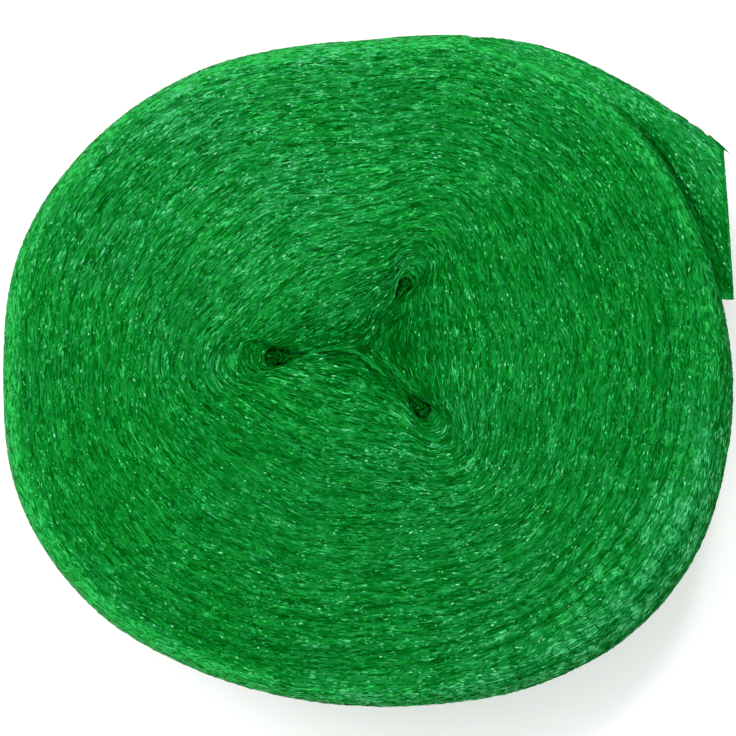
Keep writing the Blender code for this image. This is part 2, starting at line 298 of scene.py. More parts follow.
def crest(x):
    """Broad crests up to 1, with narrow gaps at the whole numbers."""
    return np.sqrt(np.abs(np.sin(np.pi * x)))


def heading(degrees):
    """Unit vectors in plan for angles in degrees."""
    turn = np.radians(degrees)
    return np.stack([np.cos(turn), np.sin(turn)], axis=-1)


def cosine(degrees):
    return np.cos(np.radians(degrees))


def norm(vectors):
    return np.linalg.norm(vectors, axis=-1)


def unit(vectors):
    return vectors / np.maximum(norm(vectors), 1e-12)[..., None]


def run_along(points):
    """Distances along a line of points."""
    return np.concatenate([[0], np.cumsum(norm(np.diff(points, axis=0)))])


def raised(plan, height):
    """Points at plan points and heights."""
    return np.concatenate([plan, height[..., None]], axis=-1)


LATTICE = np.random.default_rng(SEED + 1).uniform(-1, 1, (64, 64))


def drift(x, y):
    """Smooth noise from -1 to 1, with a lattice step of 1."""
    x, y = np.broadcast_arrays(x, y)
    x0, y0 = np.floor(x).astype(int), np.floor(y).astype(int)
    corner = lambda i, j: LATTICE[(x0 + i) % 64, (y0 + j) % 64]
    u = ease(x - x0)
    low, high = (between(corner(0, j), corner(1, j), u) for j in (0, 1))
    return between(low, high, ease(y - y0))


def drawn(sizes, count):
    """Random sizes between (least, most) in mm."""
    return rng.uniform(*sizes, count) * MM


# ---- the roll's skin ----


def past_step(angles):
    """The same angles, counted on from the step."""
    return (angles - STEP_ANGLE) % 360.0 + STEP_ANGLE


def rim_points(angles, inset=0.0):
    radius = curve(RIM, angles) * MM - inset
    return ROLL_CENTRE + heading(angles) * np.asarray(radius)[..., None]


def eye_half_width(from_tip, length, width):
    """Half the width of an eye and its crack at a distance from the eye's far end."""
    cap = width / 2
    crack = CRACK / 2
    round_end = np.sqrt(np.maximum(cap**2 - (cap - from_tip) ** 2, 0.0))
    closing = ease((from_tip - cap) / (length - cap))
    return np.where(from_tip < cap, round_end, between(cap, crack, closing))


def core_edge(angles, keep=1.0):
    """Inner edge of the windings, round the Y, and 0 at its tips to 1 at its forks."""
    points = np.zeros((*angles.shape, 2))
    forkness = np.zeros(angles.shape)
    directions = [arm[0] + turn for turn in (0, 360) for arm in ARMS]
    for k in range(len(ARMS) + 1):
        fork = (directions[k] + directions[k + 1]) / 2
        for other, side in ((k, 1), (k + 1, -1)):
            _, length, eye_length, eye_width = ARMS[other % len(ARMS)]
            centre, reach = directions[other], abs(fork - directions[other])
            chosen = (np.abs(angles - centre) <= reach) & ((angles - centre) * side >= 0)
            q = np.abs(angles[chosen] - centre) / reach
            fork_along = (CRACK / 2 + STAR) / math.tan(math.radians(reach))
            length = (length + EYE_EASE) * MM
            along = between(fork_along, length, 1 - q**ARM_EASE)
            eye = ((eye_length + EYE_EASE) * MM, (eye_width + 2 * EYE_EASE) * MM)
            half = eye_half_width(length - along, *eye)
            half += STAR * ease((q - STAR_FROM) / (1 - STAR_FROM))
            aside = (keep * half)[:, None] * heading(centre + 90.0) * side
            points[chosen] = CORE_CENTRE + along[:, None] * heading(centre) + aside
            forkness[chosen] = q
    return points, forkness


def face_height(t, angles):
    """Height of the end face at share t of the way from the core to its edge."""
    twist = TWIST_HEIGHT * np.cos(2 * np.pi * (MAIN_TWISTS * t + angles / 360.0))
    fade = ease(t / TWIST_FADE[0]) * ease((1 - t) / TWIST_FADE[1])
    dip = CORE_DIP * (1 - ease(t / CORE_DIP_REACH))
    height = ROLL_HEIGHT - dip - DOME_DROP * t**4 + twist * fade
    for lobes, phase, swell in SWELLS:
        height = height + swell * MM * cosine(lobes * angles - phase) * ease(t / SWELL_REACH)
    return height


def turn_number(s, angles):
    """Which fine turn a place is in, counted from the core."""
    over = np.clip(s - 1, 0, 1) * curve(SHOULDER, angles) / TURN_PITCH
    return TURNS * np.clip(s, 0, 1) + over + angles / 360.0


def turn_relief(s, angles):
    """Height of the fine turns."""
    return TURN_RELIEF * (crest(turn_number(s, angles)) - TURN_MEAN) * ease(s / 0.05)


def skin(s, angles):
    """Points of the roll's outside.

    s runs along its profile: 0 to 1 over the end face from the core, to 2 over the top
    shoulder, to 3 down the wall, to 4 round the foot and to 5 in over the base.
    """
    s, angles = np.broadcast_arrays(s, past_step(angles))
    core, forkness = core_edge(angles)
    rate = 1 / (1 + FLOW_ROUNDING * forkness**2)
    width = curve(SHOULDER, angles) * MM
    t = np.clip(s, 0, 1)
    plan = between(core, rim_points(angles, width), (t**rate)[..., None])
    face = raised(plan, face_height(t, angles) + turn_relief(t, angles))

    top, depth = face_height(1.0, angles), TOP_SHOULDER_SLOPE * width
    turn = np.clip(s - 1, 0, 1) * math.pi / 2
    down = np.clip(s - 2, 0, 1)
    foot = np.clip(s - 3, 0, 1) * math.pi / 2
    base_inset = WALL_TAPER[-1][1] * MM
    inset = np.select(
        [s <= 2, s <= 3],
        [width * (1 - np.sin(turn)), curve(WALL_TAPER, down) * MM],
        base_inset + BOTTOM_SHOULDER * (1 - np.cos(foot)),
    )
    shoulder = top - depth * (1 - np.cos(turn)) + np.cos(turn) * turn_relief(1.0, angles)
    height = np.select(
        [s <= 2, s <= 3],
        [shoulder, between(top - depth, BOTTOM_SHOULDER, down)],
        np.maximum(BOTTOM_SHOULDER * (1 - np.sin(foot)), BASE_CLEAR),
    )
    outside = raised(rim_points(angles, inset), height)

    inwards = (np.clip(5 - s, 0, 1) ** rate)[..., None]
    plan = between(core, rim_points(angles, base_inset + BOTTOM_SHOULDER), inwards)
    base = raised(plan, np.full(s.shape, BASE_CLEAR))
    s = s[..., None]
    return np.where(s <= 1, face, np.where(s <= 4, outside, base))


# ---- meshes ----


def new_material(name, colour, roughness, gloss):
    material = bpy.data.materials.new(name)
    material.use_nodes = True
    shader = material.node_tree.nodes["Principled BSDF"]
    shader.inputs["Base Color"].default_value = (*colour, 1)
    shader.inputs["Roughness"].default_value = roughness
    shader.inputs["Specular IOR Level"].default_value = gloss
    return material


def linked(name, data):
    """A new object in the scene."""
    made = bpy.data.objects.new(name, data)
    bpy.context.scene.collection.objects.link(made)
    return made


def mesh_piece(name, points, faces, tones):
    """A piece from points, arrays of faces and the tones of the faces."""
    mesh = bpy.data.meshes.new(name)
    mesh.vertices.add(len(points))
    mesh.vertices.foreach_set("co", points.astype(np.float32).ravel())
    corners = np.concatenate([f.ravel() for f in faces])
    sizes = np.concatenate([np.full(len(f), f.shape[1]) for f in faces])
    mesh.loops.add(len(corners))
    mesh.loops.foreach_set("vertex_index", corners.astype(np.int32))
    mesh.polygons.add(len(sizes))
    starts = np.cumsum(sizes) - sizes
    mesh.polygons.foreach_set("loop_start", starts.astype(np.int32))
    for material in MATERIALS:
        mesh.materials.append(material)
    mesh.polygons.foreach_set("material_index", np.concatenate(tones).astype(np.int32))
    mesh.update(calc_edges=True)
    mesh.validate()
    piece = linked(name, mesh)
    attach(piece, "root")
    return piece


def grid_faces(rows, columns, closed_rows):
    """Quads of a grid of points, rows outermost, with its columns closed."""
    i, j = np.meshgrid(range(rows if closed_rows else rows - 1), range(columns), indexing="ij")
    i, j = i.ravel(), j.ravel()
    i2, j2 = (i + 1) % rows, (j + 1) % columns
    corners = [i * columns + j, i2 * columns + j, i2 * columns + j2, i * columns + j2]
    return np.stack(corners, axis=1)


def blade_faces(rings):
    """Triangles and quads of one blade: an end, rings of left, crest and right, an end."""
    last = 3 * rings + 1
    triangles = [(0, 2, 1), (0, 3, 2), (last, last - 3, last - 2), (last, last - 2, last - 1)]
    quads = [(k, k + 1, k + 4, k + 3) for k in range(1, last - 4) if k % 3]
    return np.array(triangles), np.array(quads).reshape(-1, 4)


def blades(name, paths, normals, width, tone, rise=BLADE_RISE):
    """A piece of thin blades along paths, shape (blades, points, 3), each of one tone.

    Each has a crest, whose height is `rise` times its width, and a small random roll.
    """
    count, stops, _ = paths.shape
    points = np.empty((count, 3 * (stops - 2) + 2, 3))
    points[:, 0], points[:, -1] = paths[:, 0], paths[:, -1]
    roll = rng.normal(0, BLADE_ROLL, count)
    cos, sin = np.cos(roll)[:, None], np.sin(roll)[:, None]
    half, crest = width[:, None] / 2, width[:, None] * rise
    for stop in range(1, stops - 1):
        along = unit(paths[:, stop + 1] - paths[:, stop - 1])
        side = unit(np.cross(along, normals))
        up = np.cross(side, along)
        across, up = side * cos + up * sin, up * cos - side * sin
        first = 3 * stop - 2
        points[:, first] = paths[:, stop] - across * half
        points[:, first + 1] = paths[:, stop] + up * crest
        points[:, first + 2] = paths[:, stop] + across * half
    one_triangles, one_quads = blade_faces(stops - 2)
    start = np.arange(count)[:, None, None] * points.shape[1]
    triangles = (start + one_triangles).reshape(-1, 3)
    quads = (start + one_quads).reshape(-1, 4)
    tones = [np.repeat(tone, len(one_triangles)), np.repeat(tone, len(one_quads))]
    return mesh_piece(name, points.reshape(-1, 3), [triangles, quads], tones)


def lie_on(surface, u, v, length, tilt, lift, arch, stops):
    """Paths on a surface with their middles at u, v, turned by tilt from its v lines.

    The middle is lifted off the surface by lift and the ends drop below that by arch.
    Returns the paths, the normals and which of them lie whole on the surface.
    """
    eu, ev = 1e-4, 1e-2
    step = length / (stops - 1)
    paths, whole = [], np.ones(len(u), bool)
    for stop in range(-1, stops):
        place = surface(u, v)
        du, dv = (surface(u + eu, v) - place) / eu, (surface(u, v + ev) - place) / ev
        outwards = unit(np.cross(du, dv))
        if stop < 0:
            normals = outwards
        else:
            drop = 1.0 if stop in (0, stops - 1) else 0.1
            paths.append(place + outwards * (lift - arch * drop)[:, None])
        if stop > 0:
            whole &= norm(place - before) < 1.5 * step + 0.5 * MM
        before = place
        by = step if stop >= 0 else -length / 2
        u = u + by * np.sin(tilt) / np.maximum(norm(du), 1e-4)
        v = v + by * np.cos(tilt) / np.maximum(norm(dv), 1e-5)
    return np.stack(paths, axis=1), normals, whole


def pick_tone(brightness, blue, scatter=TONE_SCATTER):
    """A tone for each strand from its brightness and its chance of the bluer hue."""
    scattered = brightness + rng.normal(0, 1, len(brightness)) * scatter
    level = np.clip((scattered * LEVELS).astype(int), 0, LEVELS - 1)
    return level + LEVELS * (rng.random(len(brightness)) < blue)


def turned(kind, count):
    """Random turns of one set's strands on their surface, in radians."""
    return np.radians(rng.normal(0, kind.spread, count))


def sized(kind, count):
    """Random lengths, lifts and turns of one set's strands."""
    return drawn(kind.length, count), drawn(kind.lift, count), turned(kind, count)


def strands_on(kind, surface, u, v, length, lift, tilt, tone):
    """A piece of one set's strands that lie on a surface; see lie_on."""
    arch = drawn(STRAND_ARCH, len(u))
    paths, normals, whole = lie_on(surface, u, v, length, tilt, lift, arch, kind.stops)
    width = drawn(kind.width, len(u))
    return blades(kind.name, paths[whole], normals[whole], width[whole], tone[whole])


# ---- pieces of the roll ----


def roll_angles(count):
    """Angles round the roll, from just after the step to just before it."""
    return np.linspace(STEP_ANGLE + STEP_SPLIT, STEP_ANGLE + 360 - STEP_SPLIT, count)


def build_body():
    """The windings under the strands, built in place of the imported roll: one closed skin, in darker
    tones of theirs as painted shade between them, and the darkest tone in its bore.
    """
    parts = [np.linspace(k, k + 1, rows + 1)[1:] for k, rows in enumerate(BODY_ROWS)]
    rows = np.concatenate([[0.0], *parts])
    s, angles = np.meshgrid(rows, roll_angles(BODY_COLUMNS), indexing="ij")
    sway = rng.uniform(-BODY_SWAY, BODY_SWAY, (2, *s.shape))
    sway[:, :, [0, -1]] = 0
    sway[0, s % 1 == 0] = 0
    s = s + sway[0] * np.gradient(s, axis=0)
    angles = angles + sway[1] * (360 / BODY_COLUMNS)
    points = skin(s, angles)
    pinched, _ = core_edge(angles[0], keep=PINCH)
    for share in BODY_BORE:
        ring = np.column_stack([pinched, np.full(BODY_COLUMNS, ROLL_HEIGHT * share)])
        points = np.concatenate([points, ring[None]], axis=0)
    faces = grid_faces(*points.shape[:2], True)
    # the bore's rings keep the darkest tone, painted shade deep in the core
    tones = np.full(points.shape[:2], GAP)
    over = s < FACE_REACH
    brightness, blue, scatter = BODY_WALL
    tones[: len(s)][over] = face_tone(s[over], angles[over], 0.0, BODY_SHADE)
    tones[: len(s)][~over] = pick_tone(np.full((~over).sum(), brightness), blue, scatter)
    piece = mesh_piece("roll_body", points.reshape(-1, 3), [faces], [tones.ravel()])
    piece.data.shade_smooth()
    return piece


def spread_over(count, s_low, s_high):
    """Random places (s, angle) spread evenly over the skin between two s."""
    rows, columns = 160, 360
    s_edges = np.linspace(s_low, s_high, rows + 1)
    a_edges = roll_angles(columns + 1)
    corners = skin(s_edges[:, None], a_edges[None, :])
    side = corners[1:, :-1] - corners[:-1, :-1]
    run = corners[:-1, 1:] - corners[:-1, :-1]
    area = norm(np.cross(side, run)).ravel()
    cell = rng.choice(len(area), size=count, p=area / area.sum())
    i, j = cell // columns, cell % columns
    s = s_edges[i] + rng.random(count) * (s_edges[1] - s_edges[0])
    a = a_edges[j] + rng.random(count) * (a_edges[1] - a_edges[0])
    return s, a


def rowed(a):
    """How far the strands near the rim lie in clear rows, 0 to 1."""
    return bump(a, *ROWED)


def cells_round(turn):
    """How many cells of netting a turn has."""
    return 2 * math.pi * MEAN_RADIUS * np.clip(turn, 1, TURNS) / TURNS / BAR_LENGTH


def cell_tone_and_shade(s, a):
    """How much lighter a place is for its part of a cell, where cells show: a random tone for each
    cell, and painted shade at its joints and in the gaps between turns.
    """
    turn = np.floor(turn_number(s, a))
    place = a / 360.0 * cells_round(turn) + turn * ROW_SHIFT
    own = LATTICE[turn.astype(int) % 64, np.floor(place).astype(int) % 64]
    off_joint, off_gap = crest(place) - 0.8, crest(turn_number(s, a)) - 0.8
    shown = rowed(a) * ease((s - 0.80) / 0.14)
    return shown * (0.04 + 0.09 * own + 0.34 * off_joint + 0.28 * off_gap)


def face_light(a):
    """How much lighter some sides of the end face are: painted light from the upper left and painted
    sheen where the strands run across it, with a lighter patch at 330 degrees and a darker one at 25.
    """
    light = 0.07 * cosine(a - 110) + 0.03 * cosine(2 * (a - 112))
    return light + 0.05 * bump(a, 330, 35) - 0.06 * bump(a, 25, 35)


def over_rim(s):
    """0 on the end face to 1 on the shoulder."""
    return ease((s - 0.93) / 0.4)


# Painted light on the shoulder, by angle round the roll
def rim_light(a):
    return curve(RIM_LIGHT, past_step(a))


def face_tone(s, a, lift, brighter, scatter=TONE_SCATTER):
    """Tones of strands on the end face and shoulder, with painted light and shade in their brightness
    besides random tone.
    """
    x, y, _ = skin(s, a).T
    rim = over_rim(s)
    streak = drift(s * 130 + 7, a * (1 + 6 * s) / 14)
    near_core = 1 - ease((s - 0.08) / 0.25)
    # darker in the gaps between turns and on lower strands, painted shade; lit sides lighter, painted
    # light
    bright = 0.378 + 0.09 * crest(turn_number(s, a)) + face_light(a) + 0.10 * lift / MM
    bright += 0.070 * drift(x / 0.0035, y / 0.0035 + 3) + 0.02 * drift(x / 0.008 + 5, y / 0.008)
    bright += 0.03 * drift(x / 0.03 + 9, y / 0.03) + (0.11 + 0.05 * near_core) * streak
    # the term near the core is painted shade in the core's dip
    bright += 0.17 * rim * drift(a * 2.6, s * 9) - 0.16 * (1 - rim) * peak(s, 0, 0.045)
    for angle, reach, place, width, lighter in FACE_LIGHT_AND_SHADE:
        bright += lighter * bump(a, angle, reach) * peak(s, place, width)
    # lighter over the rim, painted light; cells darker at joints and turn gaps, painted shade
    bright += rim * rim_light(a) + cell_tone_and_shade(s, a)
    # darker on the outer rows at the lower right, painted shade on the side away from the light
    bright -= 0.10 * rowed(a) * ease((s - 1.6) / 0.2)
    blue = 0.5 + 0.18 * cosine(2 * (a - 120)) + 0.10 * cosine(a - 310)
    # the rim is yellower on its lit sides and bluer at the lower right, painted light and shade in hue
    blue += 0.30 * drift(x / 0.02 + 3, y / 0.02) - 0.5 * rim * (1 - 2 * bump(a, 320, 40))
    return pick_tone(bright + brighter, blue, scatter * (1 + 0.35 * rim))


def face_strands(kind, reach=FACE_REACH, scatter=TONE_SCATTER):
    """Strands along the turns, from the core to a place on the profile."""
    s, a = spread_over(kind.count, 0.0, reach)
    x, y, _ = skin(s, a).T
    length, tilt = drawn(kind.length, kind.count), turned(kind, kind.count)
    tilt += np.radians(7) * drift(x / 0.012, y / 0.012) * ease(s / 0.2)
    lift = drawn(kind.lift, kind.count)
    strands_on(kind, skin, s, a, length, lift, tilt, face_tone(s, a, lift, 0.0, scatter))


def dark_strands(kind, s, a, tones, turn=0.0):
    """A piece of one set's strands on the skin, each of one of the tones."""
    length, lift, tilt = sized(kind, len(s))
    strands_on(kind, skin, s, a, length, lift, turn + tilt, rng.choice(tones, len(s)))


def gap_threads():
    """Dark threads in and beside the gaps between the fine turns: painted shade in the gaps."""
    kind = SETS["gap_threads"]
    turn = rng.integers(0, TURNS + 1, kind.count)
    a = rng.uniform(STEP_ANGLE, STEP_ANGLE + 360, kind.count)
    aside = rng.normal(0, 1, kind.count) * (0.30 - 0.20 * rowed(a) * ease((turn - 12) / 4))
    s = (turn - a / 360.0 + aside) / TURNS
    kept = (s > 0.015) & (s < 1) & (rng.random(kind.count) < 0.35 + 0.65 * np.clip(s, 0, 1))
    dark_strands(kind, s[kept], a[kept], [DIM, DEEP, DEEP, SHADE])


def face_glints():
    """Short bright strands of the end face, gathered in loose clusters: painted glints, a few of them
    in the pale spark tone.
    """
    kind = SETS["face_glints"]
    s, a = spread_over(kind.count, 0.0, 1.6)
    x, y, _ = skin(s, a).T
    crowd = drift(x / 0.005 + 2, y / 0.005) + 0.4 * drift(x / 0.018, y / 0.018)
    kept = crowd > rng.uniform(-0.9, 0.9, kind.count) + 0.6 * over_rim(s)
    s, a = s[kept], a[kept]
    lift = drawn(kind.lift, len(s))
    tone = face_tone(s, a, lift, 0.27 + 0.08 * peak(s, 0, 0.06))
    tone[rng.random(len(s)) < 0.035] = SPARK
    length = drawn(kind.length, len(s))
    strands_on(kind, skin, s, a, length, lift, turned(kind, len(s)), tone)


def row_joints():
    """Dark strands across the turns where the rows of joints meet the rim: painted shade at the
    joints.
    """
    kind = SETS["row_joints"]
    s, a = [], []
    for turn in range(TURNS + ROW_TURNS[0], TURNS + ROW_TURNS[1]):
        cells = cells_round(turn)
        place = np.arange(math.ceil(STEP_ANGLE / 360 * cells), int((STEP_ANGLE / 360 + 1) * cells))
        angles = (place - turn * ROW_SHIFT) / cells * 360.0
        for _ in range(kind.count):
            along = turn + rng.uniform(0.25, 0.75, len(angles)) - angles / 360.0
            past = (along - TURNS) * TURN_PITCH / curve(SHOULDER, angles)
            s.append(np.where(along < TURNS, along / TURNS, 1 + past))
            a.append(angles + rng.normal(0, 0.09, len(angles)))
    s, a = np.concatenate(s), np.concatenate(a)
    shown = rowed(a) * ease((s - 0.80) / 0.12) + 0.35 * ease((s - 1.35) / 0.2)
    kept = (rng.random(len(s)) < shown) & (s < 1.85) & (a > STEP_ANGLE + 1) & (a < STEP_ANGLE + 359)
    dark_strands(kind, s[kept], a[kept], [DIM, DEEP, SHADE], math.pi / 2)


def diamond_rows(edges, runs, places):
    """Ends of the strands of closed diamonds, as places on a surface.

    Rows of joints lie at the edges; runs has their lengths, and places(row, distances)
    gives the places at distances along one of them.
    """
    starts, stops = [], []
    deepest = int(max(runs) / WALL_PITCH)
    for i in range(len(edges) - 1):
        for slope in (-0.5, 0.5):
            j = np.arange(1, deepest - 1)
            down_a = (j + 0.5 * (i % 2)) * WALL_PITCH
            down_b = down_a + slope * WALL_PITCH
            keep = (down_a < runs[i]) & (down_b < runs[i + 1])
            jitter = rng.normal(0, WALL_JITTER, (2, keep.sum()))
            place_a = places(i, down_a[keep] + jitter[0])
            place_b = places(i + 1, down_b[keep] + jitter[1])
            for ends, place, edge in ((starts, place_a, edges[i]), (stops, place_b, edges[i + 1])):
                ends.append(np.stack([place, np.full(len(place), edge)]))
    return np.concatenate(starts, axis=1), np.concatenate(stops, axis=1)


def diamond_paths(surface, start, end, bulge, sway):
    """Paths of diamonds' strands over a surface, bulging between joints, and their normals."""
    u, v = (start + end) / 2
    along_u = surface(u + 1e-4, v) - surface(u - 1e-4, v)
    along_v = surface(u, v + 1e-3) - surface(u, v - 1e-3)
    outwards = unit(np.cross(along_u, along_v))
    path = [surface(*start) + outwards * JOINT_LIFT]
    for share in (0.28, 0.72):
        place = between(start, end, share)
        path.append(surface(place[0] + sway, place[1]) + outwards * bulge[:, None])
    path.append(surface(*end) + outwards * JOINT_LIFT)
    return np.stack(path, axis=1), outwards


def wall_strands(names):
    """Closed diamonds of netting over the shoulder, wall and foot."""
    fine = np.linspace(WALL_START, 4.0, 320)
    edges = roll_angles(WALL_COLUMNS + 1)
    downs = [run_along(skin(fine, angle)) for angle in edges]
    start, end = diamond_rows(
        edges, [down[-1] for down in downs], lambda row, down: np.interp(down, downs[row], fine)
    )
    for place in (start, end):
        inner = (place[1] > edges[0]) & (place[1] < edges[-1])
        place[1] += ROW_SWAY * drift(place[1] / 9, place[0] * 7) * inner
    count = start.shape[1]
    middle_s, middle_a = (start + end) / 2
    proud = 0.35 + 0.65 * ease((middle_s - 2.3) / 0.3)
    bulge = drawn((0.05, 0.45), count) * proud
    paths, outwards = diamond_paths(skin, start, end, bulge, rng.normal(0, 0.006, count))
    edge = 1 - ease((middle_s - 1.95) / 0.25)
    # proud strands lighter and the rim lighter, painted light; the lower right darker, painted shade
    bright = 0.48 + wall_light(middle_a * MEAN_RADIUS * math.pi / 180, middle_s * 0.1)
    bright += 0.10 * (bulge / MM - 0.2) + (rim_light(middle_a) - 0.12 * rowed(middle_a)) * edge
    blue = 0.35 + 0.30 * drift(middle_a / 7, middle_s * 5) + 0.4 * bump(middle_a, 320, 40)
    width = drawn(WALL_WIDTH, count)
    tone = pick_tone(bright, blue)
    half = count // 2
    for name, part in zip(names, (slice(0, half), slice(half, count))):
        blades(name, paths[part], outwards[part], width[part], tone[part])


def wall_light(along, down):
    """How much lighter places on the wall or the loose end's outer face are, in metres."""
    return 0.07 * drift(along / 0.006, down / 0.004) + 0.07 * drift(along / 0.025, down / 0.02)


def eye_threads():
    """Threads that cross the eyes below the end face, mostly dark as painted shade in the eyes, with a
    few light specks.
    """
    paths, tones = [], []
    shares = np.linspace(-1, 1, 6)[:, None]
    for direction, length, eye_length, eye_width in ARMS:
        along, side = heading(direction), heading(direction + 90)
        for threads, depths, halves, choices in EYE_THREADS:
            for _ in range(threads):
                place = (length - rng.uniform(0.03, 0.90) * eye_length) * MM
                turn = rng.uniform(0, math.pi)
                reach = along * math.sin(turn) + side * math.cos(turn)
                half = rng.uniform(*halves) * eye_width * MM
                middle = CORE_CENTRE + along * place + side * rng.normal(0, 0.2) * eye_width * MM
                height = ROLL_HEIGHT - CORE_DIP - rng.uniform(*depths) * MM
                bow = rng.normal(0, 0.5) * MM
                plan = middle + reach * half * shares + side * bow * (1 - shares**2)
                paths.append(raised(plan, height + rng.normal(0, 0.3, len(shares)) * MM))
                tones.append(rng.choice(choices))
    width = drawn(EYE_WIDTH, len(paths))
    blades("eye_threads", np.array(paths), UP, width, np.array(tones))


def crack_threads():
    """Dark threads down in the crack, along each arm from the middle to its eye: painted shade in the
    crack.
    """
    paths = []
    shares = np.linspace(0, 1, 5)[:, None]
    for direction, length, eye_length, _ in ARMS:
        along, side = heading(direction), heading(direction + 90)
        for _ in range(CRACK_THREADS):
            first, long = rng.uniform(-2, length - eye_length), rng.uniform(5, 12)
            aside, depth = rng.normal(0, 0.2), rng.uniform(0.0, 2.0)
            out = along * (first + long * shares)
            out = out + side * (aside + rng.normal(0, 0.08, (len(shares), 1)))
            height = ROLL_HEIGHT - CORE_DIP - depth * MM
            paths.append(raised(CORE_CENTRE + out * MM, np.full(len(shares), height)))
    width = drawn(CRACK_WIDTH, len(paths))
    tone = rng.choice([DIM, DEEP, SHADE], len(paths))
    blades("crack_threads", np.array(paths), UP, width, tone, rise=0.1)


def core_heights(plan):
    """Heights of the end face at plan points near the core."""
    s, a = np.meshgrid(np.linspace(0, 0.4, 60), roll_angles(540), indexing="ij")
    grid = skin(s, a).reshape(-1, 3)
    apart = norm(grid[None, :, :2] - plan[:, None])
    return grid[apart.argmin(axis=1), 2]


def routed_threads(name, routes, length, width, tones):
    """Threads along routes over the core; length and width are (least, most) in mm."""
    paths = []
    for threads, spread, route in routes:
        route = np.array(route) * MM
        run = run_along(route)
        for _ in range(threads):
            long = min(rng.uniform(*length) * MM, run[-1])
            along_run = rng.uniform(0, run[-1] - long) + long * np.linspace(0, 1, 7)
            point, ahead = (
                np.stack([curve(np.c_[run, route[:, k]], at) for k in (0, 1)], axis=-1)
                for at in (along_run, along_run + 0.5 * MM)
            )
            along = unit(ahead - point)
            aside = rng.normal(0, spread) + 0.25 * np.sin(along_run / MM + rng.uniform(0, 6))
            point = point + np.stack([-along[:, 1], along[:, 0]], axis=-1) * aside[:, None] * MM
            ends = 0.5 * MM * np.abs(np.linspace(-1, 1, 7)) ** 4
            height = core_heights(point) + rng.uniform(0.70, 1.05) * MM - ends
            paths.append(np.column_stack([point, height]))
    widths = drawn(width, len(paths))
    blades(name, np.array(paths), UP, widths, rng.choice(tones, len(paths)))


def core_lines():
    """Thin dark strands along the turns round the core: painted shade between the turns."""
    kind = SETS["core_lines"]
    s, a = spread_over(kind.count, 0.0, 0.36)
    crowd = 0.55 + 0.45 * drift(s * 60, a / 9)
    kept = rng.random(kind.count) < np.exp(-s / 0.11) * crowd
    dark_strands(kind, s[kept], a[kept], [GAP, DIM, DIM, DEEP])


def base_strands():
    """Strands along the turns of the end that the roll lies on."""
    kind = SETS["base_strands"]
    s, a = spread_over(kind.count, 4.02, 4.97)
    size = sized(kind, kind.count)
    strands_on(kind, skin, s, a, *size, pick_tone(np.full(kind.count, 0.5), 0.5))


# ---- the loose end ----


def loose_angle(last, share):
    """Angle of one of the loose end's faces at shares of its length to its last angle."""
    start = STEP_ANGLE - STEP_SPLIT - math.degrees(TOUCH_GAP / (RIM[0][1] * MM))
    return between(start, last, share)


def loose_sides(share):
    """Plan points of the loose end's outer and inner faces, and how far apart they are."""
    outer_angle = loose_angle(OUTER_FACE[-1][0], share)
    inner_angle = loose_angle(CLEARANCE[-1][0], share)
    outer_radius = curve(OUTER_FACE, outer_angle) * MM
    outer_radius = outer_radius - OUTER_INSET * ease(np.asarray(share) / 0.2)
    outer = ROLL_CENTRE + heading(outer_angle) * outer_radius[..., None]
    clearance = curve(CLEARANCE, inner_angle) * MM
    inner = rim_points(inner_angle + 360.0, -clearance)
    return outer, inner, norm(inner - outer)


def loose_top(share, across):
    """Height of the loose end's folds, across from 0 at its outer face to 1."""
    rise = between(*LOOSE_RISE[::-1], (1 - share) ** 3)
    return ROLL_HEIGHT - between(*LOOSE_DROP, ease(share)) + rise * across


def crown_height(share, across, span):
    """Height over the tops of the pleats, which starts as the roll's own shoulder."""
    shoulder = SHOULDER[0][1] * MM
    turn = np.arcsin(np.clip(1 - across * span / shoulder, -1, 1))
    as_roll = ROLL_HEIGHT - DOME_DROP - TOP_SHOULDER_SLOPE * shoulder * (1 - np.cos(turn))
    drop = EDGE_DROP[0] * (1 - ease(across / EDGE_DROP[1]))
    drop = drop + CREVICE_DROP * opening(share) * ease((across - 0.85) / 0.3)
    own = loose_top(share, across) - drop
    return between(as_roll, own, ease(share / 0.15))


def loose_point(share, across, height):
    """Points of the loose end, across from 0 at its outer face to 1 at its inner."""
    share, across, height = np.broadcast_arrays(share, across, height)
    lower = ease(1 - height / (ROLL_HEIGHT - LOOSE_DROP[1])) ** 0.5
    share = share - CUT_SLANT * share**2 * lower * ease((across - 0.4) / 0.6)
    outer, inner, span = loose_sides(share)
    taper = curve(WALL_TAPER, np.clip(1 - height / ROLL_HEIGHT, 0, 1)) * MM
    above = np.clip(1 - height / BOTTOM_SHOULDER, 0, 1)
    foot = BOTTOM_SHOULDER * (1 - np.sqrt(1 - above**2))
    inset = (taper + np.minimum(foot, FOOT_SHARE * span)) * (1 - ease(share / TAPER_REACH))
    across = between(across, 1, inset / span)
    return raised(between(outer, inner, across[..., None]), height)


def fold_arc(left, right, crest, thick):
    """Outer and inner lines of one rounded fold at the top, as (across, height) points."""
    turns = np.linspace(math.pi, 0, FOLD_STEPS + 1)
    lines = []
    for grow in (0.0, thick):
        middle = (left + right) / 2
        half = (right - left) / 2 - grow
        rise = min(LOOSE_FOLD_RISE, half + grow) - grow
        base = crest - rise - grow
        lines.append([(middle + half * math.cos(a), base + rise * math.sin(a)) for a in turns])
    return lines


def flat_fold(left, right, thick):
    """Outer and inner lines of a fold that lies flat on the ground."""
    bevel = min(thick, (right - left) / 4)
    outer = [(left, bevel), (left + bevel, 0.0), (right - bevel, 0.0), (right, bevel)]
    inner = [(left + thick, 2 * thick), (right - thick, 2 * thick)]
    return [outer, inner]


def pleats_at(share, width):
    """Thickness of the pleats' leaves, and their pitch."""
    thick = between(*PLEAT_THICKNESS, share)
    return thick, (width - thick) / (PLEATS - 1)


